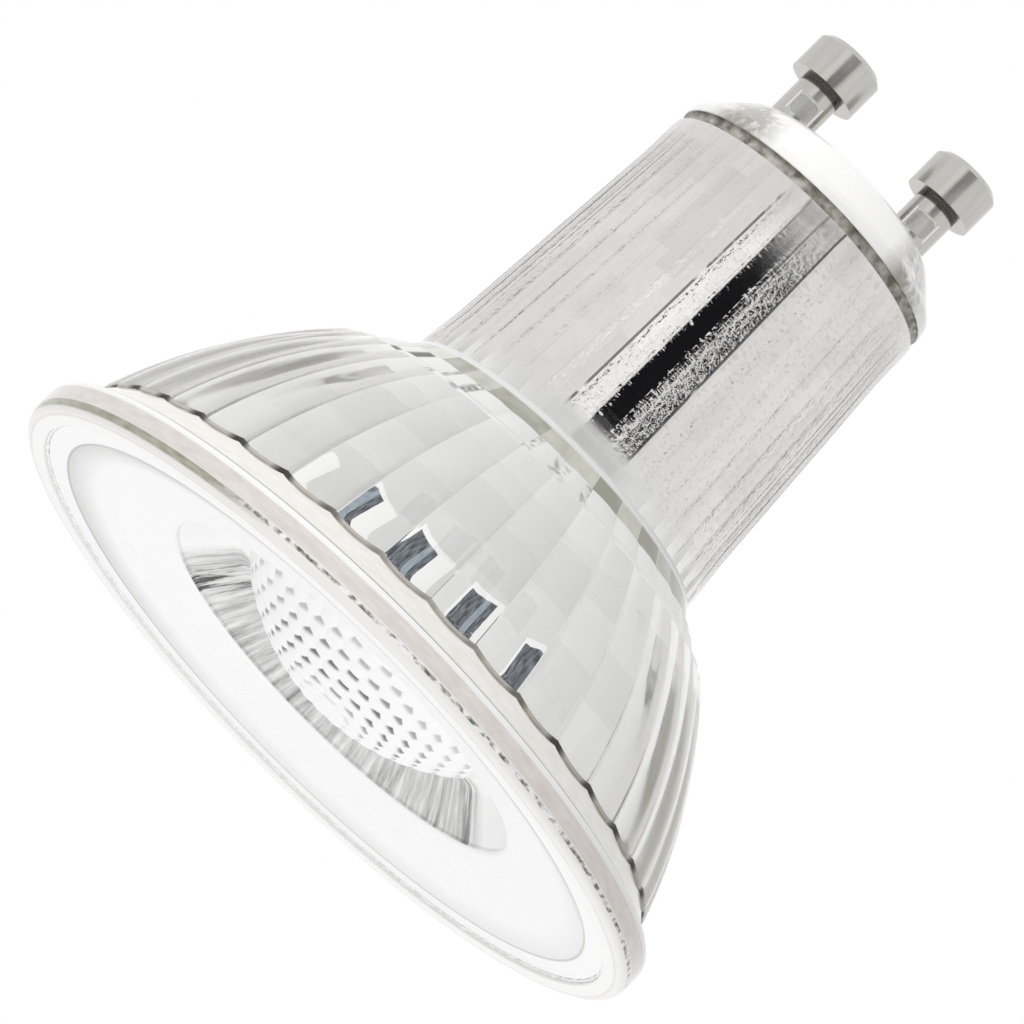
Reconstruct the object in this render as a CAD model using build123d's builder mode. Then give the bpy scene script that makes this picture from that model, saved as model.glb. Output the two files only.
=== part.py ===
"""LED spotlight bulb: a fluted, silvered pressed-glass reflector with a two-pin twist-lock cap.

The bulb stands on its front rim. The origin is the centre of the rim's front plane, +Z runs from the
light face to the contact pins, and both pins lie on the X axis. All sizes are in millimetres.
"""

import os
from math import cos, radians, sin, sqrt

from build123d import *

os.makedirs("parts", exist_ok=True)

# Glass body: rim and the seat for the lens
rim_diameter = 50.0
rim_height = 2.4
rim_rounding = 0.6
rim_front_width = 1.65
seat_depth = 2.1
seat_width = 1.5

# Glass body: band behind the rim and fluted bowl
rim_step = 0.85
band_drop = 1.5
band_height = 1.8
flute_count = 36
flute_rise = 0.3
flute_end_rise = 0.22
bowl_start_inset = 1.8
bowl_start_height = 0.2
bowl_end_height = 17.0
bowl_end_diameter = 30.5
bowl_arc_radius = 34.0
bowl_sections = 7

# Glass body: fluted tail of the bowl and plain collar below the neck
tail_step = 0.65
tail_height = 1.4
tail_end_diameter = 26.2
tail_rise = 0.22
collar_step = 0.25
collar_height = 1.6

# Glass body: faceted neck between two plain bands
neck_start_diameter = 22.9
neck_end_diameter = 19.9
neck_height = 21.5
front_band_height = 1.7
back_band_height = 0.5
band_slope_height = 0.45
flat_depth = 0.22

# Glass body: groove, bevelled cap and wall
groove_height = 0.7
groove_depth = 0.35
cap_rim_height = 0.8
cap_bevel_height = 2.6
cap_face_diameter = 14.6
cap_floor = 2.4
bowl_end_wall = 2.8
neck_wall = 1.7
bury = 0.4

# Contact pins
pin_spacing = 10.0
pin_shank_diameter = 2.95
pin_shank_length = 3.7
pin_head_diameter = 4.8
pin_head_height = 2.8
pin_head_bevel = 0.35
pin_foot_diameter = 4.2
pin_foot_height = 0.6
pin_bore_diameter = 1.2
pin_bore_end = 3.2
pin_fit = 0.05
crimp_size = 1.5
crimp_depth = 0.3
crimp_rounding = 0.35

# Front lens moulding
lens_recess = 0.9
lens_fit = 0.15
lens_edge_width = 1.6
lens_dish = 0.5
lens_wall = 1.3
seal_bevel = 0.5
seal_height = 0.8
well_diameter = 27.4
well_lip_radius = 0.8
well_floor_diameter = 22.6
dome_radius = 13.6
dome_base_diameter = 20.6
dome_root = 0.7
dome_recess = 0.2
cell_pitch = 1.36

# Heat spreader, thermal pad and LED board
spreader_depth = 9.6
spreader_height = 5.0
spreader_thickness = 1.0
bond_gap = 0.12
pad_diameter = 20.0
pad_thickness = 0.2
board_diameter = 22.0
board_thickness = 1.0
led_length = 3.5
led_width = 2.8
led_height = 0.75
led_window_diameter = 2.3
led_window_depth = 0.12
led_ring_count = 6
led_ring_diameter = 9.6

# Insulating sleeve and driver board in the neck
sleeve_gap = 0.15
sleeve_wall = 0.8
sleeve_start_gap = 2.0
sleeve_end_gap = 0.8
rail_depth = 0.7
rail_wall = 0.7
driver_width = 12.8
driver_thickness = 1.0
driver_start_gap = 0.4
driver_end_gap = 1.6
driver_fit = 0.08
wire_diameter = 0.9
wire_gap = 0.05
mains_wire_lap = 5.0
mains_wire_top_gap = 0.5
led_wire_spacing = 9.0
led_wire_lap = 4.0
led_wire_end = 0.5
wire_hole_gap = 0.15

# Parts soldered to the driver board
solder_gap = 0.05
bulk_capacitor_diameter = 6.3
bulk_capacitor_length = 11.0
bulk_capacitor_top_gap = 2.6
capacitor_crimp_depth = 0.25
capacitor_crimp_width = 0.7
capacitor_crimp_offset = 1.4
inductor_diameter = 6.8
inductor_height = 5.4
inductor_flange = 0.9
inductor_post_diameter = 3.2
inductor_start_gap = 0.8
coil_gap = 0.1
film_capacitor_size = (7.2, 3.4, 6.0)
film_capacitor_start_gap = 1.2
chip_size = (4.9, 1.55, 3.9)
chip_gap = 0.75
rectifier_size = (4.7, 2.4, 4.0)
rectifier_top_gap = 3.2
fuse_diameter = 2.2
fuse_length = 6.0
fuse_offset = 4.4
fuse_top_gap = 5.6
resistor_size = (1.6, 0.55, 3.2)
resistor_offset = 4.4
resistor_start_gap = 7.8
resistor_spacing = 5.0
body_bevel = 0.4
resistor_bevel = 0.12

# Radii and heights that follow from the sizes above
rim_radius = rim_diameter / 2
seat_radius = rim_radius - rim_front_width
shelf_radius = seat_radius - seat_width
band_start_radius = rim_radius - rim_step
bowl_start = (rim_radius - bowl_start_inset, rim_height + bowl_start_height)
bowl_end = (bowl_end_diameter / 2, bowl_end_height)
tail_end = (tail_end_diameter / 2, bowl_end_height + tail_height)
collar_end_z = tail_end[1] + collar_height
neck_end_z = collar_end_z + neck_height
cap_start_z = neck_end_z + groove_height
cap_rim_z = cap_start_z + cap_rim_height
cap_end_z = cap_rim_z + cap_bevel_height
cap_floor_z = cap_end_z - cap_floor
head_z = cap_end_z + pin_shank_length
pin_end_z = head_z + pin_head_height
neck_taper = (neck_start_diameter - neck_end_diameter) / 2 / neck_height
front_band_z = collar_end_z + front_band_height
front_flat_z = front_band_z + band_slope_height
back_band_z = neck_end_z - back_band_height
back_flat_z = back_band_z - band_slope_height
inner_start = (shelf_radius, seat_depth)
inner_end = (bowl_end_diameter / 2 - bowl_end_wall, bowl_end_height)
inner_middle_z = (inner_start[1] + inner_end[1]) / 2
lens_radius = seat_radius - lens_fit
lip_start = (well_diameter / 2 + well_lip_radius, lens_recess + lens_dish)
lip_end = (well_diameter / 2, lens_recess + lens_dish + well_lip_radius)
dome_centre_z = dome_recess + dome_radius
root_radius = dome_base_diameter / 2 + dome_root
floor_z = dome_centre_z - sqrt(dome_radius ** 2 - (dome_base_diameter / 2) ** 2)
floor_back_z = floor_z + lens_wall
hollow_radius_at_back = sqrt((dome_radius - lens_wall) ** 2 - (dome_centre_z - floor_back_z) ** 2)
spreader_end_z = spreader_depth + spreader_height
spreader_middle_z = spreader_depth + spreader_height / 2
board_z = spreader_depth - pad_thickness - board_thickness
sleeve_start_z = collar_end_z + sleeve_start_gap
sleeve_end_z = cap_floor_z - pin_foot_height - sleeve_end_gap
driver_face_y = wire_diameter / 2 + wire_gap
driver_centre_y = driver_face_y + driver_thickness / 2
driver_start_z = collar_end_z - driver_start_gap
driver_end_z = cap_floor_z - driver_end_gap
rail_length = neck_start_diameter / 2 - driver_width / 2 + rail_depth
rail_centre = driver_width / 2 - rail_depth + rail_length / 2
capacitor_z = driver_end_z - bulk_capacitor_top_gap - bulk_capacitor_length
inductor_z = driver_start_z + inductor_start_gap + inductor_diameter / 2
film_capacitor_z = driver_start_z + film_capacitor_start_gap + film_capacitor_size[2] / 2
chip_z = film_capacitor_z + film_capacitor_size[2] / 2 + chip_gap + chip_size[2] / 2
rectifier_z = driver_end_z - rectifier_top_gap - rectifier_size[2] / 2
resistor_z = driver_start_z + resistor_start_gap + resistor_size[2] / 2
fuse_z = driver_end_z - fuse_top_gap - fuse_length


def neck_radius(z):
    """Outer radius of the neck's bands at a height."""
    return neck_start_diameter / 2 - neck_taper * (z - collar_end_z)


def neck_bore(z):
    """Inner radius of the neck at a height."""
    return neck_radius(z) - flat_depth - neck_wall


def bowl_bore(z):
    """Inner radius of the bowl at a height, on an arc from the lens seat to the bowl's end."""
    chord = sqrt((inner_start[0] - inner_end[0]) ** 2 + (inner_end[1] - inner_start[1]) ** 2)
    sink = sqrt(bowl_arc_radius ** 2 - chord ** 2 / 4)
    centre_r = (inner_start[0] + inner_end[0]) / 2 - sink * (inner_end[1] - inner_start[1]) / chord
    centre_z = inner_middle_z - sink * (inner_start[0] - inner_end[0]) / chord
    return centre_r + sqrt(bowl_arc_radius ** 2 - (z - centre_z) ** 2)


def fluted_outline(radius, rise):
    """Closed outline of convex flutes between cusps on one radius, a cusp in line with each pin."""
    half = 180 / flute_count
    for index in range(flute_count):
        middle = (2 * index + 1) * half
        start, crest, end = (
            (reach * cos(radians(angle)), reach * sin(radians(angle)))
            for reach, angle in ((radius, middle - half), (radius + rise, middle), (radius, middle + half))
        )
        ThreePointArc(start, crest, end)


# Glass body: fluted bowl, tail, neck and cap as one pressed piece, hollowed from the light face
with BuildLine(Plane.XZ) as bowl_curve:
    RadiusArc(bowl_start, bowl_end, -bowl_arc_radius)

with BuildPart() as glass_body:
    with BuildSketch(Plane.XZ):
        with BuildLine():
            Polyline(
                (0, 0),
                (rim_radius, 0),
                (rim_radius, rim_height),
                (band_start_radius, rim_height),
                (band_start_radius - band_drop, rim_height + band_height),
                (0, rim_height + band_height),
                close=True,
            )
        make_face()
    revolve(axis=Axis.Z)
    round_edges = glass_body.edges().filter_by(GeomType.CIRCLE)
    fillet(round_edges.filter_by(lambda edge: edge.radius > band_start_radius + bury), rim_rounding)

    for step in range(bowl_sections):
        share = step / (bowl_sections - 1)
        spot = bowl_curve.line @ share
        with BuildSketch(Plane.XY.offset(spot.Z)):
            with BuildLine():
                fluted_outline(spot.X, flute_rise + share * (flute_end_rise - flute_rise))
            make_face()
    loft(ruled=True)

    for radius, z in ((bowl_end[0] - tail_step, bowl_end[1]), tail_end):
        with BuildSketch(Plane.XY.offset(z)):
            with BuildLine():
                fluted_outline(radius, tail_rise)
            make_face()
    loft(ruled=True)

    with BuildSketch(Plane.XZ):
        with BuildLine():
            Polyline(
                (0, bowl_end[1]),
                (tail_end[0] - collar_step, bowl_end[1]),
                (tail_end[0] - collar_step, tail_end[1]),
                (neck_radius(collar_end_z), collar_end_z),
                (neck_radius(front_band_z), front_band_z),
                (neck_radius(front_flat_z) - flat_depth - bury, front_flat_z + bury),
                (neck_radius(back_flat_z) - flat_depth - bury, back_flat_z - bury),
                (neck_radius(back_band_z), back_band_z),
                (neck_radius(neck_end_z), neck_end_z),
                (neck_radius(neck_end_z) - groove_depth, neck_end_z),
                (neck_radius(neck_end_z) - groove_depth, cap_start_z),
                (neck_radius(cap_start_z), cap_start_z),
                (neck_radius(cap_rim_z), cap_rim_z),
                (cap_face_diameter / 2, cap_end_z),
                (0, cap_end_z),
                close=True,
            )
        make_face()
    revolve(axis=Axis.Z)

    for z in (front_band_z, back_band_z):
        flat_radius = neck_radius(z) - flat_depth
        with BuildSketch(Plane.XY.offset(z)):
            RegularPolygon(flat_radius, flute_count, major_radius=False, rotation=180 / flute_count)
    loft(ruled=True)

    with BuildSketch(Plane.XZ):
        with BuildLine():
            Polyline(
                (0, bowl_end[1]),
                (0, -bury),
                (seat_radius, -bury),
                (seat_radius, seat_depth),
                inner_start,
            )
            ThreePointArc(inner_start, (bowl_bore(inner_middle_z), inner_middle_z), inner_end)
            Polyline(
                inner_end,
                (neck_bore(collar_end_z), collar_end_z),
                (neck_bore(cap_floor_z), cap_floor_z),
                (0, cap_floor_z),
                (0, bowl_end[1]),
            )
        make_face()
    revolve(axis=Axis.Z, mode=Mode.SUBTRACT)

    with BuildSketch(Plane.XY.offset(cap_floor_z - bury)):
        with GridLocations(pin_spacing, 0, 2, 1):
            Circle(pin_shank_diameter / 2 + pin_fit)
    extrude(until=Until.LAST, mode=Mode.SUBTRACT)

glass_body.part.label = "glass_body"
export_step(glass_body.part, "parts/glass_body.step")


# Contact pins: turned hollow rivets with a thicker head, pulled against the inside of the cap
for name, side in (("live_pin", 1), ("neutral_pin", -1)):
    with BuildPart() as pin:
        with BuildSketch(Plane.XZ):
            with BuildLine():
                Polyline(
                    (pin_bore_diameter / 2, cap_floor_z - pin_foot_height),
                    (pin_foot_diameter / 2, cap_floor_z - pin_foot_height),
                    (pin_foot_diameter / 2, cap_floor_z),
                    (pin_shank_diameter / 2, cap_floor_z),
                    (pin_shank_diameter / 2, head_z),
                    (pin_head_diameter / 2, head_z),
                    (pin_head_diameter / 2, pin_end_z - pin_head_bevel),
                    (pin_head_diameter / 2 - pin_head_bevel, pin_end_z),
                    (0, pin_end_z),
                    (0, pin_end_z - pin_bore_end),
                    (pin_bore_diameter / 2, pin_end_z - pin_bore_end),
                    close=True,
                )
            make_face()
        revolve(axis=Axis.Z)
        with BuildSketch(Plane.XZ.offset(pin_shank_diameter / 2)):
            with Locations((0, cap_end_z + pin_shank_length / 2)):
                RectangleRounded(crimp_size, crimp_size, crimp_rounding)
        extrude(amount=-crimp_depth, mode=Mode.SUBTRACT)
    placed_pin = Pos(side * pin_spacing / 2, 0, 0) * pin.part
    placed_pin.label = name
    export_step(placed_pin, f"parts/{name}.step")


# Front lens: one clear moulding with a frosted ring, a round well and a honeycomb dome of flat cells.
# The hexagonal pattern repeats round the axis, so one sector of the dome is cut and then copied.
sector_angle = 360 // 6
with BuildPart() as dome_sector:
    with BuildSketch():
        with BuildLine():
            sector_arc = CenterArc((0, 0), root_radius, 0, sector_angle)
            Polyline(sector_arc @ 1, (0, 0), sector_arc @ 0)
        make_face()
    extrude(amount=floor_back_z)
    reach = int(2 * root_radius / cell_pitch)
    for column in range(reach):
        for row in range(-1, reach):
            x = column * cell_pitch * sqrt(3) / 2
            y = (row + column % 2 / 2) * cell_pitch
            beyond_sector = y * cos(radians(sector_angle)) - x * sin(radians(sector_angle)) > cell_pitch
            if beyond_sector or sqrt(x * x + y * y) > root_radius:
                continue
            drop = sqrt(dome_radius ** 2 - x * x - y * y)
            cell = Plane((x, y, dome_centre_z - drop), z_dir=(x, y, -drop))
            split(bisect_by=cell, keep=Keep.BOTTOM)

with BuildPart() as front_lens:
    with BuildSketch(Plane.XZ):
        with BuildLine():
            Polyline(
                (lens_radius - seal_bevel, seat_depth),
                (lens_radius, seat_depth - seal_bevel),
                (lens_radius, lens_recess),
                (lens_radius - lens_edge_width, lens_recess),
                lip_start,
            )
            RadiusArc(lip_start, lip_end, well_lip_radius)
            Polyline(
                lip_end,
                (well_floor_diameter / 2, floor_z),
                (dome_base_diameter / 2 - bury, floor_z),
                (dome_base_diameter / 2 - bury, floor_back_z),
                (well_floor_diameter / 2 + lens_wall, floor_back_z),
                (well_diameter / 2 + lens_wall, lip_start[1] + lens_wall),
                (shelf_radius - lens_fit, seat_depth),
                (lens_radius - seal_bevel, seat_depth),
            )
        make_face()
    revolve(axis=Axis.Z)
    with PolarLocations(0, 360 // sector_angle):
        add(dome_sector.part)
    with BuildSketch(Plane.XZ):
        with BuildLine():
            hollow_top = Line((0, floor_back_z), (hollow_radius_at_back, floor_back_z))
            hollow_arc = RadiusArc(hollow_top @ 1, (0, dome_recess + lens_wall), dome_radius - lens_wall)
            Line(hollow_arc @ 1, hollow_top @ 0)
        make_face()
    revolve(axis=Axis.Z, mode=Mode.SUBTRACT)
front_lens.part.label = "front_lens"
export_step(front_lens.part, "parts/front_lens.step")


# Lens seal: a bead of clear silicone in the corner between the lens edge and its seat
with BuildPart() as lens_seal:
    with BuildSketch(Plane.XZ):
        with BuildLine():
            Polyline(
                (lens_radius - seal_bevel, seat_depth),
                (seat_radius, seat_depth),
                (seat_radius, seat_depth - seal_height),
                (lens_radius, seat_depth - seal_height),
                (lens_radius, seat_depth - seal_bevel),
                close=True,
            )
        make_face()
    revolve(axis=Axis.Z)
lens_seal.part.label = "lens_seal"
export_step(lens_seal.part, "parts/lens_seal.step")


# Heat spreader: a pressed aluminium cup bonded to the inside of the bowl, with two wire holes
with BuildPart() as heat_spreader:
    with BuildSketch(Plane.XZ):
        with BuildLine():
            skirt_heights = (spreader_depth, spreader_middle_z, spreader_end_z)
            skirt = [(bowl_bore(z) - bond_gap, z) for z in skirt_heights]
            lining = [(r - spreader_thickness, z) for r, z in skirt]
            web_edge = (lining[0][0] - spreader_thickness, spreader_depth + spreader_thickness)
            Polyline(lining[2], skirt[2])
            ThreePointArc(*reversed(skirt))
            Polyline(skirt[0], (0, spreader_depth), (0, web_edge[1]), web_edge)
            ThreePointArc(web_edge, lining[1], lining[2])
        make_face()
    revolve(axis=Axis.Z)
    with BuildSketch(Plane.XY.offset(spreader_depth)):
        with GridLocations(led_wire_spacing, 0, 2, 1):
            Circle(wire_diameter / 2 + wire_hole_gap)
    extrude(amount=spreader_thickness, mode=Mode.SUBTRACT)
heat_spreader.part.label = "heat_spreader"
export_step(heat_spreader.part, "parts/heat_spreader.step")


# Thermal pad and LED board: two discs stacked on the spreader, both pierced for the wires
for name, diameter, z, thickness in (
    ("thermal_pad", pad_diameter, spreader_depth - pad_thickness, pad_thickness),
    ("led_board", board_diameter, board_z, board_thickness),
):
    with BuildPart() as disc:
        with BuildSketch(Plane.XY.offset(z)):
            Circle(diameter / 2)
            with GridLocations(led_wire_spacing, 0, 2, 1):
                Circle(wire_diameter / 2 + wire_hole_gap, mode=Mode.SUBTRACT)
        extrude(amount=thickness)
    disc.part.label = name
    export_step(disc.part, f"parts/{name}.step")


# LED packages: one in the middle and a ring of six, each with a sunken round window
led_turn = 180 / led_ring_count
led_ring = PolarLocations(led_ring_diameter / 2, led_ring_count, start_angle=led_turn, rotate=False)
for number, place in enumerate([Location()] + led_ring.local_locations, start=1):
    with BuildPart() as led:
        with BuildSketch(Plane.XY.offset(board_z)):
            with Locations(place.position):
                Rectangle(led_length, led_width)
        extrude(amount=-led_height)
        with BuildSketch(Plane.XY.offset(board_z - led_height)):
            with Locations(place.position):
                Circle(led_window_diameter / 2)
        extrude(amount=led_window_depth, mode=Mode.SUBTRACT)
    led.part.label = f"led_{number}"
    export_step(led.part, f"parts/led_{number}.step")


# Insulating sleeve: a tapered tube in the neck with two slotted rails for the driver board
with BuildPart() as sleeve_room:
    for z in (sleeve_start_z, sleeve_end_z):
        with BuildSketch(Plane.XY.offset(z)):
            Circle(neck_bore(z) - sleeve_gap - sleeve_wall)
    loft()
    with BuildSketch(Plane.XY.offset(sleeve_start_z)):
        for side in (-1, 1):
            with Locations((side * rail_centre, driver_centre_y)):
                Rectangle(rail_length, driver_thickness + 2 * driver_fit + 2 * rail_wall)
        with Locations((0, driver_centre_y)):
            Rectangle(driver_width + 2 * driver_fit, driver_thickness + 2 * driver_fit, mode=Mode.SUBTRACT)
    extrude(amount=sleeve_end_z - sleeve_start_z, mode=Mode.SUBTRACT)

with BuildPart() as driver_sleeve:
    for z in (sleeve_start_z, sleeve_end_z):
        with BuildSketch(Plane.XY.offset(z)):
            Circle(neck_bore(z) - sleeve_gap)
    loft()
    add(sleeve_room.part, mode=Mode.SUBTRACT)
driver_sleeve.part.label = "driver_sleeve"
export_step(driver_sleeve.part, "parts/driver_sleeve.step")


# Driver board: an upright plate in the sleeve's rails
with BuildPart() as driver_board:
    with BuildSketch(Plane.XZ.offset(-driver_face_y)):
        with Locations((0, (driver_start_z + driver_end_z) / 2)):
            Rectangle(driver_width, driver_end_z - driver_start_z)
    extrude(amount=-driver_thickness)
driver_board.part.label = "driver_board"
export_step(driver_board.part, "parts/driver_board.step")


# Wires: straight leads that lie on the driver board, two into the pins and two to the LED board
mains_span = (driver_end_z - mains_wire_lap, pin_end_z - pin_bore_end - mains_wire_top_gap)
led_span = (board_z - led_wire_end, driver_start_z + led_wire_lap)
for name, x, (start_z, end_z) in (
    ("live_wire", pin_spacing / 2, mains_span),
    ("neutral_wire", -pin_spacing / 2, mains_span),
    ("led_plus_wire", led_wire_spacing / 2, led_span),
    ("led_minus_wire", -led_wire_spacing / 2, led_span),
):
    with BuildPart() as wire:
        with BuildSketch(Plane.XY.offset(start_z)):
            with Locations((x, 0)):
                Circle(wire_diameter / 2)
        extrude(amount=end_z - start_z)
    wire.part.label = name
    export_step(wire.part, f"parts/{name}.step")


# Bulk capacitor: an upright can with a rolled-in crimp, lying along the front of the driver board
capacitor_radius = bulk_capacitor_diameter / 2
capacitor_y = driver_face_y - solder_gap - capacitor_radius
with BuildPart() as bulk_capacitor:
    with BuildSketch(Plane.XY.offset(capacitor_z)):
        with Locations((0, capacitor_y)):
            Circle(capacitor_radius)
    extrude(amount=bulk_capacitor_length)
    chamfer(bulk_capacitor.edges().filter_by(GeomType.CIRCLE), body_bevel)
    with BuildSketch(Plane.XY.offset(capacitor_z + capacitor_crimp_offset)):
        with Locations((0, capacitor_y)):
            Circle(capacitor_radius)
            Circle(capacitor_radius - capacitor_crimp_depth, mode=Mode.SUBTRACT)
    extrude(amount=capacitor_crimp_width, mode=Mode.SUBTRACT)
bulk_capacitor.part.label = "bulk_capacitor"
export_step(bulk_capacitor.part, "parts/bulk_capacitor.step")


# Inductor: a drum core standing on the front of the driver board, with its coil between the flanges
with BuildPart() as inductor_core:
    with BuildSketch(Plane.XZ.offset(solder_gap - driver_face_y)):
        with Locations((0, inductor_z)):
            Circle(inductor_diameter / 2)
    extrude(amount=inductor_height)
    with BuildSketch(Plane.XZ.offset(solder_gap - driver_face_y + inductor_flange)):
        with Locations((0, inductor_z)):
            Circle(inductor_diameter / 2)
            Circle(inductor_post_diameter / 2, mode=Mode.SUBTRACT)
    extrude(amount=inductor_height - 2 * inductor_flange, mode=Mode.SUBTRACT)
inductor_core.part.label = "inductor_core"
export_step(inductor_core.part, "parts/inductor_core.step")

with BuildPart() as inductor_coil:
    with BuildSketch(Plane.XZ.offset(solder_gap - driver_face_y + inductor_flange + coil_gap)):
        with Locations((0, inductor_z)):
            Circle(inductor_diameter / 2 - coil_gap)
            Circle(inductor_post_diameter / 2 + coil_gap, mode=Mode.SUBTRACT)
    extrude(amount=inductor_height - 2 * inductor_flange - 2 * coil_gap)
inductor_coil.part.label = "inductor_coil"
export_step(inductor_coil.part, "parts/inductor_coil.step")


# Moulded parts on the back of the driver board: film capacitor, control chip, rectifier and chip resistors
back_face_y = driver_face_y + driver_thickness
back_parts = [
    ("film_capacitor", film_capacitor_size, 0, film_capacitor_z, body_bevel),
    ("control_chip", chip_size, 0, chip_z, body_bevel),
    ("bridge_rectifier", rectifier_size, 0, rectifier_z, body_bevel),
    ("sense_resistor_1", resistor_size, -resistor_offset, resistor_z, resistor_bevel),
    ("sense_resistor_2", resistor_size, -resistor_offset, resistor_z + resistor_spacing, resistor_bevel),
]
for name, (width, depth, height), x, z, bevel in back_parts:
    with BuildPart() as body:
        with BuildSketch(Plane.XZ.offset(-back_face_y - solder_gap)):
            with Locations((x, z)):
                Rectangle(width, height)
        extrude(amount=-depth)
        chamfer(body.faces().sort_by(Axis.Y)[-1].edges(), bevel)
    body.part.label = name
    export_step(body.part, f"parts/{name}.step")

# Fusible resistor: a coated barrel with bevelled ends, lying along the back of the driver board
with BuildPart() as fuse_resistor:
    with BuildSketch(Plane.XY.offset(fuse_z)):
        with Locations((fuse_offset, back_face_y + solder_gap + fuse_diameter / 2)):
            Circle(fuse_diameter / 2)
    extrude(amount=fuse_length)
    chamfer(fuse_resistor.edges().filter_by(GeomType.CIRCLE), body_bevel)
fuse_resistor.part.label = "fuse_resistor"
export_step(fuse_resistor.part, "parts/fuse_resistor.step")
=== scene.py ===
import math

import bpy
from mathutils import Matrix, Vector, noise


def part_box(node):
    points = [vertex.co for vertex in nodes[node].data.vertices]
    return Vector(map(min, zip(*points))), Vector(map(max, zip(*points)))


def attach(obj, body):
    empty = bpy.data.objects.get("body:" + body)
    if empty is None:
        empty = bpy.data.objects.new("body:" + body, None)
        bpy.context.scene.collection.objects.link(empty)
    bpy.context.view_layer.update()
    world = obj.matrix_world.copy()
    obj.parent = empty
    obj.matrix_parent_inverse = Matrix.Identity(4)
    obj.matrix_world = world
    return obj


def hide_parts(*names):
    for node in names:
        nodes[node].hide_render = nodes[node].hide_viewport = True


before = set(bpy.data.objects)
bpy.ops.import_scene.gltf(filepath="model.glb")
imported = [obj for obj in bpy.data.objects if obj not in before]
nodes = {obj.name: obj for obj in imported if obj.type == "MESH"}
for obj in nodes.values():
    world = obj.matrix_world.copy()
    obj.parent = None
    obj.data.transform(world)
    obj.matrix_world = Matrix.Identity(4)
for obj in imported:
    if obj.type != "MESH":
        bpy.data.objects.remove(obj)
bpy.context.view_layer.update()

# Glass body: one piece of pressed glass with the rim, the fluted bowl, the collar, the faceted neck and the
# bevelled cap. It carries every other piece. Bowl and neck are clear over a silver coating on the inside,
# and the rim, the flutes' toes and tails, the collar, the groove and the cap have tones of their own.
mm = 0.001
flute_count = 36
flute_half = math.radians(180 / flute_count)
flute_places = (-1, -0.95, -0.8, -0.55, -0.3, -0.07, 0, 0.07, 0.3, 0.55, 0.8, 0.95)
rim_bottom, rim_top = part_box("glass_body")[0].z / mm, 2.4
seat_radius, shelf_radius, seat_depth = 23.35, 21.85, 2.1
rim_radius, rim_rounding, front_rounding = 25.0, 0.6, 0.8
band_start, band_slope = 24.15, 1.5 / 1.8
bowl_low, bowl_high = (23.2, 2.6), (15.25, 17.0)
bowl_bend = 34.0
flute_rise_low, flute_rise_high = 0.3, 0.22
toe_cusp, toe_scallop, toe_length = 4.2, 0.32, 0.75
end_roll, end_length = 0.2, 0.5
tail_low, tail_high, tail_rise = (14.6, 17.0), (13.1, 18.4), 0.22
collar_start = 12.85
neck_low, neck_high = (11.45, 20.0), (9.95, 41.5)
panel_start, panel_end, panel_corner = 20.6, 41.2, 0.2
panel_depth, panel_ease = 0.18, 1.8
rib_height, rib_width = 0.006, 0.1
groove_depth, groove_top = 0.35, 42.2
cap_rim_top, cap_top, cap_face_radius = 43.0, 45.6, 7.3
cap_floor, floor_inset, pole_radius = 43.2, 0.6, 1.5
bowl_wall, neck_wall, inner_sink = 2.8, 1.92, 0.11
mirror_top, neck_steps, bowl_steps = 42.6, 8, 16
cusp_width = 0.06
ease_steps, ease_lead = 5, 1.15
sharp_edge = math.radians(32)


def eased(corners):
    """Points (radius, height) along straight runs; each corner (radius, height, ease) is rounded that far."""
    points = []
    last = len(corners) - 1
    for index, (radius, height, ease) in enumerate(corners):
        corner = Vector((radius, height))
        if index in (0, last) or ease == 0:
            points.append(corner)
            continue
        before = (Vector(corners[index - 1][:2]) - corner).normalized() * ease
        after = (Vector(corners[index + 1][:2]) - corner).normalized() * ease
        points.append(corner + before * ease_lead)
        for step in range(ease_steps + 1):
            t = step / ease_steps
            points.append(corner + before * (1 - t) ** 2 + after * t ** 2)
        points.append(corner + after * ease_lead)
    return [tuple(point) for point in points]


def ramp(value, low, high):
    """0 below low, 1 above high, and a smooth slope between them."""
    t = min(max((value - low) / (high - low), 0), 1)
    return t * t * (3 - 2 * t)


def arc_radius(low, high, bend, height):
    """Radius at a height on an arc of that bend, bulging outwards between two points (radius, height)."""
    across = Vector(high) - Vector(low)
    sink = math.sqrt(bend ** 2 - across.length_squared / 4)
    middle = (Vector(low) + Vector(high)) / 2
    centre = middle - Vector((across.y, -across.x)).normalized() * sink
    return centre.x + math.sqrt(bend ** 2 - (height - centre.y) ** 2)


def along(low, high, height):
    """Radius at a height on the straight line between two points (radius, height)."""
    return low[0] + (high[0] - low[0]) * (height - low[1]) / (high[1] - low[1])


def flute_radius(place, height):
    """Radius of the bowl at a place across a flute, from cusp (-1) to cusp (1)."""
    share = (height - bowl_low[1]) / (bowl_high[1] - bowl_low[1])
    rise = flute_rise_low + share * (flute_rise_high - flute_rise_low)
    belly = 1 - min(abs(place), 1 - cusp_width) ** 2
    return arc_radius(bowl_low, bowl_high, bowl_bend, height) + rise * belly


def band_radius(height):
    """Radius of the plain band behind the rim."""
    return band_start - (height - rim_top) * band_slope


def toe_height(place):
    """Height of a flute's rounded foot on the band behind the rim."""
    return toe_cusp - toe_scallop * (1 - place ** 2)


def rolled_off(distance, length, drop):
    """Drop of a rounded edge at a distance from its end."""
    t = min(max(distance / length, 0), 1)
    return drop * (1 - math.sqrt(1 - (1 - t) ** 2))


def bowl_row(share):
    """One row of the fluted bowl, from the toes (0) to the flutes' upper ends (1)."""
    row = []
    for place in flute_places:
        toe = toe_height(place)
        height = toe + share * (bowl_high[1] - toe)
        drop = rolled_off(height - toe, toe_length, flute_radius(place, toe) - band_radius(toe))
        drop += rolled_off(bowl_high[1] - height, end_length, end_roll)
        row.append((flute_radius(place, height) - drop, height))
    return row


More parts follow.
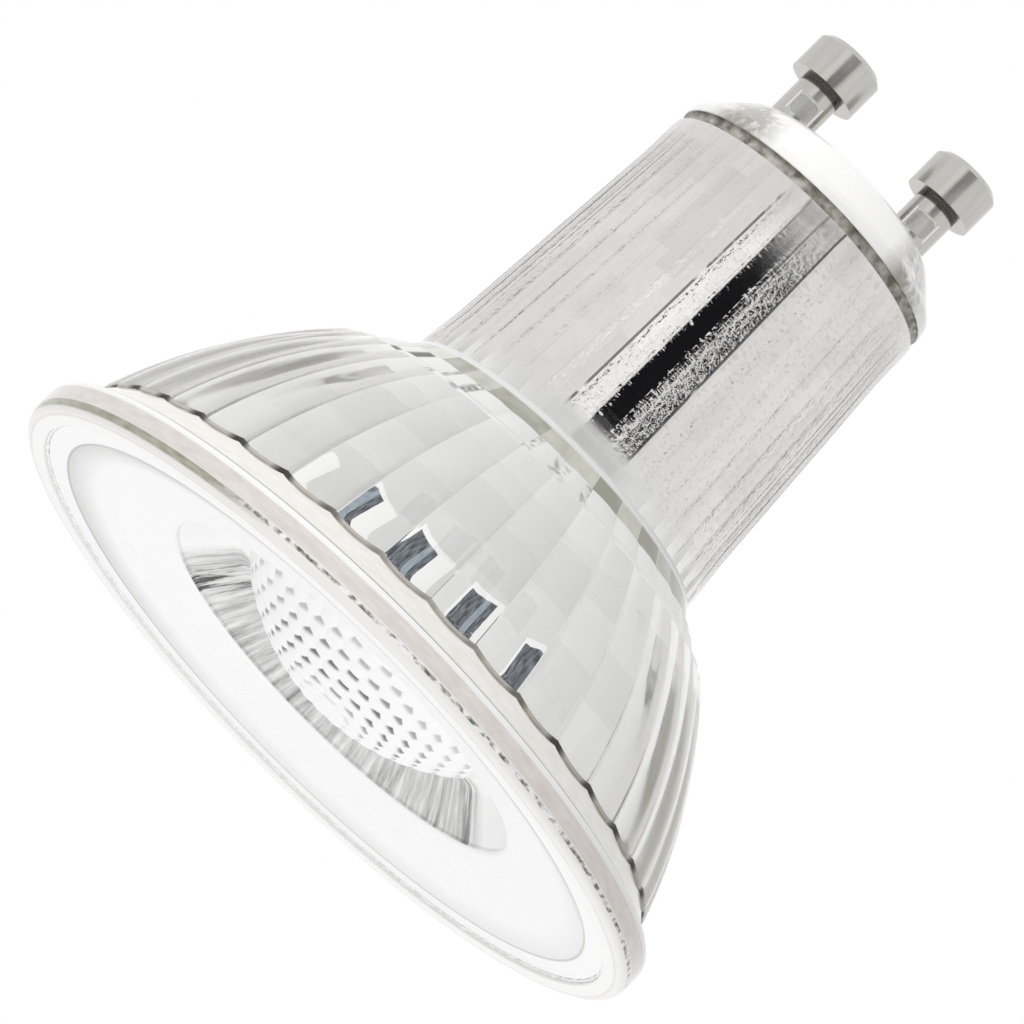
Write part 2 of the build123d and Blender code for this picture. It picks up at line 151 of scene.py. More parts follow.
def band_row(share):
    """One row of the plain band, from the rim's back (0) to the toes (1)."""
    row = []
    for place in flute_places:
        height = rim_top + share * (toe_height(place) - rim_top)
        row.append((band_radius(height), height))
    return row


def tail_row(share):
    """One row of the flutes' tails, from the bowl (0) to the collar (1)."""
    height = tail_low[1] + share * (tail_high[1] - tail_low[1])
    radius = along(tail_low, tail_high, height)
    return [(radius + tail_rise * (1 - place ** 2), height) for place in flute_places]


def neck_row(share):
    """One row of the neck's sunken flat panels with fine ribs between them; a panel lies above each cusp."""
    row = []
    for flute_place in flute_places:
        place = 1 - abs(flute_place)
        corner = panel_corner * place ** 4
        low, high = panel_start + corner, panel_end - corner
        height = low + share * (high - low)
        sunk = ramp(min(height - low, high - height), 0, panel_ease)
        outer = along(neck_low, neck_high, height)
        flat = (outer - panel_depth) / math.cos(flute_half * place)
        rib = rib_height * ramp(place, 1 - rib_width, 1)
        row.append((outer + sunk * (flat + rib - outer), height))
    return row


def plain_rows(points):
    """Rows without flutes through points (radius, height)."""
    return [[point] * len(flute_places) for point in points]


toe_shares = [0, 0.006, 0.013, 0.021, 0.03, 0.04, 0.052]
belly_shares = [0.052 + 0.908 * step / 36 for step in range(1, 37)]
end_shares = [0.97, 0.98, 0.99, 0.995, 1]
panel_low_shares = [0, 0.004, 0.008, 0.012, 0.016, 0.022, 0.03]
panel_shares = panel_low_shares + [0.03 + 0.94 * step / 10 for step in range(1, 10)]
panel_shares += [1 - share for share in reversed(panel_low_shares)]
tail_shares = (0, 0.08, 0.3, 0.55, 0.8, 0.92)
glass_rows, row_tones = [], []


def add_rows(tone, rows):
    """Adds rows to the glass; the faces from each of them to the next row have that tone."""
    glass_rows.extend(rows)
    row_tones.extend([tone] * len(rows))


band_low = rim_top + 0.3
add_rows("rim", plain_rows(eased([
    (shelf_radius, seat_depth, 0),
    (seat_radius, seat_depth, 0.1),
    (seat_radius, rim_bottom, 0.12),
    (rim_radius, rim_bottom, front_rounding),
    (rim_radius, rim_top, rim_rounding),
    (band_start, rim_top, 0.15),
    (band_radius(band_low), band_low, 0),
])[:-1]))
add_rows("rim", [band_row(share) for share in (0.45, 0.8)])
add_rows("toe", [band_row(0.93)] + [bowl_row(share) for share in toe_shares[:3]])
add_rows("clear", [bowl_row(share) for share in toe_shares[3:] + belly_shares])
add_rows("tail", [bowl_row(share) for share in end_shares])
add_rows("tail", [tail_row(share) for share in tail_shares])
add_rows("collar", [tail_row(1)])
for row in plain_rows(eased([
    (collar_start, tail_high[1], 0),
    (neck_low[0], neck_low[1], 0.25),
    (along(neck_low, neck_high, panel_start), panel_start, 0),
])[:-1]):
    add_rows("collar" if row[0][1] < neck_low[1] else "clear", [row])
add_rows("clear", [neck_row(share) for share in panel_shares])
groove_low, slack = neck_high[1], 0.02
for row in plain_rows(eased([
    (along(neck_low, neck_high, panel_end), panel_end, 0),
    (neck_high[0], groove_low, 0.12),
    (neck_high[0] - groove_depth, groove_low, 0.12),
    (neck_high[0] - groove_depth, groove_top, 0.12),
    (along(neck_low, neck_high, groove_top), groove_top, 0.15),
    (along(neck_low, neck_high, cap_rim_top), cap_rim_top, 0.35),
    (cap_face_radius, cap_top, 0.7),
    (pole_radius, cap_top, 0),
])[1:]):
    level = row[0][1]
    above_neck = "groove" if level < groove_top + slack else "cap"
    add_rows("clear" if level < groove_low - slack else above_neck, [row])
cap_pole = (len(glass_rows) - 1, cap_top, cap_floor)
floor_radius = neck_high[0] - neck_wall - floor_inset
add_rows("silver", plain_rows([(pole_radius, cap_floor), (floor_radius, cap_floor)]))
for step in range(neck_steps + 1):
    height = mirror_top + (neck_low[1] - mirror_top) * step / neck_steps
    flat = along(neck_low, neck_high, height) - neck_wall
    add_rows("silver", [[(flat / math.cos(flute_half * (1 - abs(place))), height) for place in flute_places]])
bowl_inner_high = (bowl_high[0] - bowl_wall, bowl_high[1])
for step in range(bowl_steps):
    height = bowl_high[1] + (seat_depth - bowl_high[1]) * step / bowl_steps
    radius = arc_radius((shelf_radius, seat_depth), bowl_inner_high, bowl_bend, height)
    sink = inner_sink * ramp(min(step, bowl_steps - step), 0, 2)
    add_rows("silver", [[(radius + sink * place ** 2, height) for place in flute_places]])


def about_axis(radius, angle, height):
    """Point in metres, from a radius and a height in millimetres and an angle about the bulb's axis."""
    return (radius * math.cos(angle) * mm, radius * math.sin(angle) * mm, height * mm)


def smooth_mesh(name, vertices, faces):
    """Mesh that is shaded smooth but for its sharp edges."""
    mesh = bpy.data.meshes.new(name)
    mesh.from_pydata(vertices, [], faces)
    mesh.polygons.foreach_set("use_smooth", [True] * len(faces))
    mesh.set_sharp_from_angle(angle=sharp_edge)
    return mesh


def ringed_mesh(name, rows, tones, poles):
    """Closed mesh through rows of points (radius, height) that repeat in every flute.

    The last row meets the first. Tones numbers the material above each row. Poles gives the row that ends
    in a pole on the axis, and the heights of that pole and of the next row's."""
    places = len(rows[0])
    pole_row, *pole_heights = poles
    around = places * flute_count
    vertices = []
    for row in rows:
        for column in range(around):
            radius, height = row[column % places]
            angle = flute_half * (2 * (column // places) + 1 + flute_places[column % places])
            vertices.append(about_axis(radius, angle, height))
    faces, face_tones = [], []
    pole = len(vertices)
    vertices += [(0, 0, height * mm) for height in pole_heights]
    for step, tone in enumerate(tones):
        low, high = step * around, (step + 1) % len(rows) * around
        for column in range(around):
            beside = (column + 1) % around
            if step == pole_row:
                faces += [(low + column, low + beside, pole), (high + beside, high + column, pole + 1)]
                face_tones += [tone, tones[step + 1]]
            else:
                faces.append((low + column, low + beside, high + beside, high + column))
                face_tones.append(tone)
    mesh = smooth_mesh(name, vertices, faces)
    mesh.polygons.foreach_set("material_index", face_tones)
    return mesh


def new_piece(name, mesh, *materials):
    piece = bpy.data.objects.new(name, mesh)
    bpy.context.collection.objects.link(piece)
    for material in materials:
        mesh.materials.append(material)
    return piece


class Signal:
    """An output socket of a material's nodes; arithmetic on it adds Math nodes to that material."""

    def __init__(self, tree, socket=None):
        self.tree = tree
        self.socket = socket

    def node(self, kind, settings=None, inputs=None, output=0):
        """Adds a node: its settings first, then the values or links of its sockets."""
        made = self.tree.nodes.new(kind)
        for name, value in (settings or {}).items():
            setattr(made, name, value)
        for key, value in (inputs or {}).items():
            if isinstance(value, Signal):
                self.tree.links.new(value.socket, made.inputs[key])
            else:
                made.inputs[key].default_value = value
        return Signal(self.tree, made.outputs[output]) if made.outputs else made

    def math(self, operation, *values):
        return self.node("ShaderNodeMath", {"operation": operation}, dict(enumerate(values)))

    def __add__(self, other):
        return self.math("ADD", self, other)

    def __sub__(self, other):
        return self.math("SUBTRACT", self, other)

    def __rsub__(self, other):
        return self.math("SUBTRACT", other, self)

    def __mul__(self, other):
        return self.math("MULTIPLY", self, other)

    def __truediv__(self, other):
        return self.math("DIVIDE", self, other)

    def __gt__(self, other):
        return self.math("GREATER_THAN", self, other)

    def __lt__(self, other):
        return self.math("LESS_THAN", self, other)

    __radd__ = __add__
    __rmul__ = __mul__

    def clamp(self):
        return self.node("ShaderNodeClamp", inputs={"Value": self})

    def between(self, low, high):
        """0 below low, 1 above high, and a straight ramp between them."""
        return self.node("ShaderNodeMapRange", inputs={"Value": self, "From Min": low, "From Max": high})

    def band(self, start, full, fade, end):
        """1 from full to fade, with a ramp up from start and a ramp down to end."""
        return self.between(start, full) * (1 - self.between(fade, end))

    def blend(self, first, second):
        """Mixes two colours by this value."""
        return self.node("ShaderNodeMix", {"data_type": "RGBA"}, {0: self, 6: first, 7: second}, output=2)

    def tones(self, *stops):
        """Colour at this value on a ramp with stops (position, red, green, blue)."""
        made = self.tree.nodes.new("ShaderNodeValToRGB")
        elements = made.color_ramp.elements
        while len(elements) < len(stops):
            elements.new(1)
        for element, (position, *tone) in zip(elements, stops):
            element.position = position
            element.color = (*tone, 1)
        self.tree.links.new(self.socket, made.inputs[0])
        return Signal(self.tree, made.outputs[0])

    def place(self):
        """Position on the object in metres."""
        return self.node("ShaderNodeTexCoord", output="Object")

    def axis(self, index):
        return self.node("ShaderNodeSeparateXYZ", inputs={0: self.place()}, output=index)

    def reach(self):
        """Distance from the bulb's axis in metres."""
        return self.math("SQRT", self.axis(0) * self.axis(0) + self.axis(1) * self.axis(1))

    def turn(self):
        """Angle about the bulb's axis."""
        return self.math("ARCTAN2", self.axis(1), self.axis(0))

    def cusps(self):
        """1 along the cusps between the flutes, -1 along the flutes' middles."""
        return self.math("COSINE", self.turn() * flute_count)

    def blocks(self, height):
        """A random value for each flute and each step of that height."""
        around = self.math("FLOOR", self.turn() / (2 * flute_half))
        up = self.math("FLOOR", self.axis(2) / height + around * 0.37)
        corner = self.node("ShaderNodeCombineXYZ", inputs={0: around, 1: up})
        return self.node("ShaderNodeTexWhiteNoise", inputs={"Vector": corner})

    def speckle(self, size, detail=2.0, stretch=(1, 1, 1)):
        """Noise with spots of about that size in metres."""
        where = self.node("ShaderNodeMapping", inputs={"Vector": self.place(), "Scale": stretch})
        return self.node("ShaderNodeTexNoise", inputs={"Vector": where, "Scale": 1 / size, "Detail": detail})

    def wrapped(self, around, upwards, detail, roughness=0.5):
        """Noise with that many spots to a radian about the axis, and along a second value."""
        where = self.node("ShaderNodeCombineXYZ", inputs={0: self.turn() * around, 1: upwards})
        sockets = {"Vector": where, "Scale": 1.0, "Detail": detail, "Roughness": roughness}
        return self.node("ShaderNodeTexNoise", inputs=sockets)

    def outside(self):
        """1 where a surface is seen from outside, 0 where it is seen from within the glass."""
        return 1 - self.node("ShaderNodeNewGeometry", output="Backfacing")

    def bump(self, height, strength, distance):
        sockets = {"Height": height, "Strength": strength, "Distance": distance}
        return self.node("ShaderNodeBump", inputs=sockets)


def colour(red, green, blue):
    return (red, green, blue, 1)


def open_material(name):
    material = bpy.data.materials.new(name)
    material.use_nodes = True
    material.node_tree.nodes.clear()
    return material, Signal(material.node_tree)


def close_material(surface, **sockets):
    """Finishes a material with one Principled shader; underscores in a socket's name stand for spaces."""
    inputs = {name.replace("_", " "): value for name, value in sockets.items()}
    shader = surface.node("ShaderNodeBsdfPrincipled", inputs=inputs)
    surface.node("ShaderNodeOutputMaterial", inputs={"Surface": shader})


# Clear glass is a little wavy from the press.
clear_glass, surface = open_material("clear_pressed_glass")
waves = surface.speckle(2.2 * mm)
close_material(
    surface,
    Base_Color=waves.blend(colour(0.975, 0.985, 0.975), colour(0.99, 0.99, 0.985)),
    Transmission_Weight=1.0,
    Roughness=0.01,
    IOR=1.5,
    Normal=surface.bump(waves, strength=0.06, distance=0.2 * mm),
)

# Each flute of the bowl shows a silver strip of its own tone, with painted shade from its lighter side
# to its darker one. The neck's silver is grained beside its dark reflection, where dark specks are painted
# reflection, and has broken lines at the panels' edges, painted dark as painted reflection where they meet
# the dark reflection. It dulls towards the cap. In front its foot is painted white as a painted highlight.
silver, surface = open_material("silver_coating")
height, reach = surface.axis(2), surface.reach()
on_neck = height.between(20.5 * mm, 22 * mm)
side, front = surface.axis(0) / reach, surface.axis(1) / reach * -1
panel_edge = surface.cusps() * -1
grain = surface.speckle(0.3 * mm)
comb = surface.speckle(0.36 * mm, detail=1.0, stretch=(0.35, 0.35, 1))
grain_share = side.between(0.06, 0.1) * 0.75 + (side * -1).between(0.06, 0.1) * 0.5 + 0.12
ripples = grain * grain_share + comb * (panel_edge.between(-0.3, 0.7) * 0.5 + 0.12)
clouds = surface.speckle(2.5 * mm, stretch=(1, 1, 0.4)) * 0.5 + surface.blocks(3.4 * mm) * 0.5
# Painted shade: each flute is painted lighter on one side and darker on the other, over its own tone.
across_flute = surface.math("FRACT", surface.turn() / (2 * flute_half))
flute_shade_strips = clouds * 0.55 + (1 - across_flute) * 0.45
flute_side_shade = across_flute.between(0.35, 0.75).blend(colour(0.97, 0.965, 0.96), colour(0.68, 0.66, 0.62))
bowl_tone_and_shade = front.between(0.35, 0.8).blend(
    flute_side_shade, flute_shade_strips.blend(colour(0.58, 0.575, 0.57), colour(0.82, 0.82, 0.815))
)
beside = (1 - on_neck) * (1 - front.between(0.35, 0.7)) * front.between(-0.35, 0)
# Dark specks: grain all over the neck, thickened beside the dark reflection into painted reflection.
grain_and_reflection_specks = (side.between(0.06, 0.1) * 0.24 + 0.08) * (1 - grain.between(0.32, 0.46))
neck_tone = grain_and_reflection_specks.blend(
    clouds.blend(colour(0.64, 0.618, 0.605), colour(0.78, 0.762, 0.75)), colour(0.42, 0.38, 0.35)
)
# Broken lines at the panels' edges: faint all round, painted dark at the dark reflection as painted
# reflection.
broken = surface.speckle(2.2 * mm, detail=3.0).between(0.36, 0.44)
at_dark = front.between(0.93, 0.96) * (1 - front.between(0.975, 0.985) * 0.6)
edge_line = panel_edge.between(0.9, 0.97) * broken * (at_dark * 0.75 + 0.06)
toward_cap = height.between(32 * mm, 41.5 * mm)
# Painted highlight: in front, the foot of the neck is painted white, less metallic and rougher.
foot = height.band(17.2 * mm, 18 * mm, 21.3 * mm, 22.3 * mm) * front.between(0.86, 0.96)
coating_tone = on_neck.blend(bowl_tone_and_shade, edge_line.blend(neck_tone, colour(0.02, 0.02, 0.02)))
close_material(
    surface,
    Base_Color=foot.blend(coating_tone, colour(0.95, 0.945, 0.94)),
    Metallic=1 - beside * 0.3 - foot * 0.7,
    Roughness=toward_cap * toward_cap * 0.36 + beside * 0.22 + foot * 0.3 + 0.015,
    Normal=surface.bump(ripples * on_neck, strength=0.35, distance=0.1 * mm),
)

# The collar is greenish, with a pale line along its upper edge that is a painted highlight.
green_collar, surface = open_material("green_edge_glass")
patches = surface.blocks(30 * mm) * 0.6 + surface.speckle(1.2 * mm) * 0.4
green = patches.between(0.25, 0.75).blend(colour(0.27, 0.27, 0.215), colour(0.66, 0.66, 0.60))
# Painted highlight: a pale line along the collar's upper edge.
close_material(
    surface,
    Base_Color=surface.axis(2).between(19.55 * mm, 19.7 * mm).blend(green, colour(0.72, 0.73, 0.73)),
    Roughness=0.12,
    Coat_Weight=0.5,
    Alpha=surface.outside(),
)

# The tails are pale, with dark painted reflections at some cusps.
pale_tail, surface = open_material("pale_tail_glass")
blotch = surface.blocks(20 * mm) * 0.85 + surface.speckle(0.5 * mm) * 0.15
# Painted reflections: dark marks at some cusps.
painted_reflection_marks = blotch.between(0.64, 0.7) * surface.cusps().between(-0.3, 0.4)
close_material(
    surface,
    Base_Color=painted_reflection_marks.blend(colour(0.78, 0.78, 0.77), colour(0.1, 0.1, 0.09)),
    Roughness=0.2,
    Coat_Weight=0.3,
    Alpha=surface.outside(),
)

# The groove under the cap is painted dark brown and mottled, as painted shade in that recess.
shaded_groove, surface = open_material("shaded_groove_glass")
groove_shade_mottle = surface.speckle(0.7 * mm, detail=4.0).between(0.36, 0.66)
close_material(
    surface,
    Base_Color=groove_shade_mottle.blend(colour(0.14, 0.125, 0.10), colour(0.56, 0.53, 0.49)),
    Roughness=0.3,
    Alpha=surface.outside(),
)

# The rim has a dusty wall and a cream band behind it. Its front face and the rounding at its back are painted
# near white as painted highlights, with a thin dark line of painted shade at the top of that rounding. On the
# near side its front edge has painted olive shade at the left and, along the rest, dark and pale flecks whose
# palest are painted glints.
rim_glass, surface = open_material("rim_glass")
height, reach, side = surface.axis(2), surface.reach(), surface.axis(0)
streaks = surface.speckle(1.4 * mm, detail=4.0, stretch=(1, 1, 4))
streaked = streaks.between(0.3, 0.7)
wall = streaked.blend(colour(0.69, 0.64, 0.61), colour(0.79, 0.75, 0.72))
cream = streaked.blend(colour(0.80, 0.775, 0.73), colour(0.88, 0.86, 0.83))
# Painted shade: olive on the near front edge at the left.
olive_shade = streaked.blend(colour(0.26, 0.26, 0.18), colour(0.46, 0.45, 0.38))
# Dark and pale flecks on the near front edge; the palest are painted glints.
edge_flecks_and_glints = surface.wrapped(45.0, height * 2600.0, detail=3.0).tones(
    (0.36, 0.11, 0.108, 0.09),
    (0.47, 0.42, 0.415, 0.37),
    (0.54, 0.76, 0.75, 0.74),
    (0.66, 0.93, 0.92, 0.96),
)
near_side = (surface.axis(1) * -1).between(-2 * mm, 3 * mm)
fleck_band = height.band(0.46 * mm, 0.52 * mm, 0.7 * mm, 0.76 * mm) * near_side
olive_shade_band = height.band(0.24 * mm, 0.36 * mm, 0.74 * mm, 0.8 * mm) * near_side
plain_edge = colour(0.87, 0.858, 0.835)
edge_tone = side.between(-15 * mm, -9 * mm).blend(
    olive_shade_band.blend(plain_edge, olive_shade), fleck_band.blend(plain_edge, edge_flecks_and_glints)
)
on_edge = reach.between(24.35 * mm, 24.5 * mm) * (1 - height.between(0.78 * mm, 0.84 * mm))
# Painted highlights: front face and back rounding painted near white; a thin dark line of painted shade tops
# the rounding.
painted_lit_front = (1 - reach.between(24.2 * mm, 24.35 * mm)) * (height < 2.2 * mm)
back_highlight = height.between(1.8 * mm, 1.9 * mm)
back_shade_line = height.band(2.2 * mm, 2.26 * mm, 2.34 * mm, 2.4 * mm)
tone = back_highlight.blend(wall, colour(0.93, 0.93, 0.92))
tone = height.between(2.36 * mm, 2.42 * mm).blend(tone, cream)
tone = (back_shade_line * 0.75).blend(tone, colour(0.30, 0.29, 0.27))
tone = on_edge.blend(painted_lit_front.blend(tone, colour(0.92, 0.92, 0.91)), edge_tone)
close_material(surface, Base_Color=tone, Roughness=0.15, Coat_Weight=0.3, Alpha=surface.outside())

# The toes are shaded at the cusps, most of all away from the middle.
shaded_toe, surface = open_material("shaded_toe_glass")
aside = surface.math("ABSOLUTE", surface.axis(0)).between(3 * mm, 11 * mm)
shadow = surface.cusps().between(-0.1, 0.8) * (aside * 0.7 + 0.3)
close_material(
    surface,
    Base_Color=shadow.blend(colour(0.54, 0.51, 0.47), colour(0.04, 0.036, 0.03)),
    Roughness=0.4,
    Alpha=surface.outside(),
)

# The cap is milky, with grey patches outside the pins that are dust and painted reflection.
milky_cap, surface = open_material("cap_glass")
aside = surface.math("ABSOLUTE", surface.axis(0))
dust_and_reflection_mottle = surface.speckle(0.5 * mm, detail=4.0) * 0.4 + surface.speckle(2.5 * mm) * 0.6
# Grey patches outside the pins: dust mottle with painted reflection.
dust_and_reflection_lobe = aside.band(4.6 * mm, 6.2 * mm, 7.8 * mm, 9.2 * mm) * dust_and_reflection_mottle.between(0.34, 0.52)
close_material(
    surface,
    Base_Color=dust_and_reflection_lobe.blend(colour(0.94, 0.935, 0.925), colour(0.37, 0.345, 0.31)),
    Roughness=0.12,
    Coat_Weight=0.4,
    Alpha=surface.outside(),
)

glass_tones = {
    "clear": clear_glass,
    "silver": silver,
    "tail": pale_tail,
    "collar": green_collar,
    "groove": shaded_groove,
    "rim": rim_glass,
    "toe": shaded_toe,
    "cap": milky_cap,
}
tone_numbers = [list(glass_tones).index(tone) for tone in row_tones]
glass_mesh = ringed_mesh("glass_body_shell", glass_rows, tone_numbers, cap_pole)
glass_shell = new_piece("glass_body_shell", glass_mesh, *glass_tones.values())
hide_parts("glass_body")
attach(glass_shell, "root")

# Contact pins: hollow brass rivets with thick heads, nickel plated. They are pulled tight against the
# inside of the cap, and a square crimp on each shank grips its wire.
shade_start, head_start = 48.85, 49.296
crimp_low, crimp_high = 46.7, 48.2
crimp_front, crimp_back = -1.2, -1.15
nickel, surface = open_material("nickel_plate")
streaks = surface.speckle(0.5 * mm, stretch=(1, 1, 0.15))
depth, height = surface.axis(1), surface.axis(2)
# Painted shade: a dark ring just under each head.
painted_shade_under_head = height.between(shade_start * mm, (shade_start + 0.1) * mm) * (height < head_start * mm)
plate = streaks.blend(colour(0.44, 0.43, 0.405), colour(0.60, 0.59, 0.565))
at_crimp = (height > crimp_low * mm) * (height < crimp_high * mm)
# Painted highlight: the crimp's flat face is painted pale.
crimp_highlight = (depth > crimp_front * mm) * (depth < crimp_back * mm) * at_crimp
plate = crimp_highlight.blend(plate, colour(0.86, 0.85, 0.83))
close_material(
    surface,
    Base_Color=painted_shade_under_head.blend(plate, colour(0.10, 0.098, 0.09)),
    Metallic=1.0,
    Roughness=streaks.between(0.2, 0.8) * 0.12 + 0.16,
    Normal=surface.bump(streaks, strength=0.1, distance=0.1 * mm),
)


def dress(material, *names):
    """Gives solids of the CAD a material of the scene."""
    for name in names:
        slots = nodes[name].data.materials
        slots.clear()
        slots.append(material)


dress(nickel, "live_pin", "neutral_pin")

# Driver: a moulded sleeve in the neck insulates a lacquered board, and the board carries the parts that
# turn mains current into the steady current of the light sources. Covered leads run to pins and light board.


def mottled(name, dark, light, size, roughness, **sockets):
    """Material that drifts between two colours, and between two degrees of gloss, in spots of that size."""
    material, surface = open_material(name)
    drift = surface.speckle(size, detail=3.0)
    tone = drift.between(0.35, 0.65).blend(colour(*dark), colour(*light))
    close_material(surface, Base_Color=tone, Roughness=drift * 0.2 + (roughness - 0.1), **sockets)
    return material


dress(mottled("sleeve_plastic", (0.84, 0.84, 0.82), (0.90, 0.90, 0.88), 3 * mm, 0.5), "driver_sleeve")
dress(mottled("board_lacquer", (0.05, 0.22, 0.11), (0.12, 0.36, 0.20), 1.5 * mm, 0.35), "driver_board")
wire_cover = mottled("wire_cover", (0.80, 0.80, 0.78), (0.88, 0.88, 0.86), 2 * mm, 0.5)
dress(wire_cover, "live_wire", "neutral_wire", "led_plus_wire", "led_minus_wire")
can_sleeve, surface = open_material("capacitor_sleeve")
stripe = surface.axis(1).between(1.4 * mm, 1.5 * mm)
scuffs = surface.speckle(0.8 * mm, detail=4.0)
close_material(
    surface,
    Base_Color=stripe.blend(colour(0.06, 0.07, 0.11), colour(0.55, 0.57, 0.60)),
    Roughness=scuffs * 0.3 + 0.25,
)
dress(can_sleeve, "bulk_capacitor")
dress(mottled("ferrite", (0.06, 0.06, 0.065), (0.13, 0.13, 0.14), 0.6 * mm, 0.7), "inductor_core")
winding, surface = open_material("enamelled_winding")
layers = {"Vector": surface.place(), "Scale": 900.0}
turns = surface.node("ShaderNodeTexWave", {"bands_direction": "Z"}, layers, output="Fac")
close_material(
    surface,
    Base_Color=turns.blend(colour(0.30, 0.12, 0.04), colour(0.72, 0.36, 0.15)),
    Metallic=0.8,
    Roughness=0.35,
    Normal=surface.bump(turns, strength=0.4, distance=0.1 * mm),
)
dress(winding, "inductor_coil")
dress(mottled("film_block", (0.55, 0.36, 0.08), (0.66, 0.46, 0.13), 1.2 * mm, 0.35), "film_capacitor")
black_moulding = mottled("black_moulding", (0.025, 0.025, 0.028), (0.06, 0.06, 0.065), 0.5 * mm, 0.5)
dress(black_moulding, "control_chip", "bridge_rectifier")
resistor_coat = mottled("resistor_coat", (0.22, 0.33, 0.41), (0.33, 0.46, 0.54), 0.7 * mm, 0.45)
dress(resistor_coat, "fuse_resistor", "sense_resistor_1", "sense_resistor_2")

# Light engine: a pressed aluminium cup bonded into the bowl carries heat away. A soft pad lies on it, then
# a white lacquered metal board with seven light sources under yellow phosphor.
cup_metal = mottled("pressed_aluminium", (0.66, 0.67, 0.68), (0.78, 0.79, 0.80), 1 * mm, 0.3, Metallic=1.0)
dress(cup_metal, "heat_spreader")
dress(mottled("soft_pad", (0.54, 0.57, 0.60), (0.64, 0.67, 0.70), 0.8 * mm, 0.7), "thermal_pad")
dress(mottled("white_lacquer", (0.90, 0.90, 0.88), (0.94, 0.94, 0.92), 2 * mm, 0.3), "led_board")
phosphor = mottled("phosphor", (0.86, 0.72, 0.22), (0.94, 0.83, 0.38), 0.4 * mm, 0.6)
dress(phosphor, *(f"led_{number}" for number in range(1, 8)))

# Front lens: one clear moulding with a frosted ring, a round well and a honeycomb dome of pillow-shaped
# cells over the light sources. It drops into the seat inside the rim.
lens_radius, frost_radius, lens_front, lens_back = 23.2, 21.6, 0.3, 2.1
lens_dish, lens_wall, seal_bevel, ring_back = 1.25, 1.3, 0.5, 21.7
well_radius, lip_radius, well_floor_radius = 13.75, 0.4, 11.3
dome_bend, dome_top, dome_base = 14.6, 0.05, 10.3
cell_pitch, cell_sag, cell_steps = 1.36, 0.12, 8
column_pitch, cell_corner = cell_pitch * math.sqrt(3) / 2, cell_pitch / math.sqrt(3)
dome_border, dome_root, dome_lap, back_rings = 9.1, 10.75, 0.3, 9
dome_centre = dome_top + dome_bend
floor_height = dome_centre - math.sqrt(dome_bend ** 2 - dome_base ** 2)
ring_segments = 288


def turned_ring(outlines):
    """Vertices and faces of a closed ring about the axis, with one outline (radius, height) for each step."""
    vertices, faces = [], []
    for step, outline in enumerate(outlines):
        angle = 2 * math.pi * step / len(outlines)
        vertices += [about_axis(radius, angle, height) for radius, height in outline]
        low, high = step * len(outline), (step + 1) % len(outlines) * len(outline)
        for index in range(len(outline)):
            beside = (index + 1) % len(outline)
            faces.append((low + index, low + beside, high + beside, high + index))
    return vertices, faces


def in_cells(x, y):
    """Vectors to a point from the middle of its honeycomb cell, or of each cell that meets there."""
    ways = []
    column = round(x / column_pitch)
    for near in (column - 1, column, column + 1):
        offset = near % 2 / 2
        row = math.floor(y / cell_pitch - offset)
        for along_row in (row, row + 1):
            ways.append(Vector((x - near * column_pitch, y - (along_row + offset) * cell_pitch)))
    least = min(way.length for way in ways)
    return [way for way in ways if way.length < least + 0.001]


def outer_shade(way, x, y):
    """Shade on a cell's outer edge: strongest at the border, fading towards the cell's middle and sides."""
    out = Vector((x, y)).normalized()
    outward, sideways = way.dot(out) * 2 / cell_pitch, abs(way.cross(out)) * 2 / cell_pitch
    return ramp(outward, 0.42, 0.92) * (1 - ramp(sideways, 0.38, 0.8))


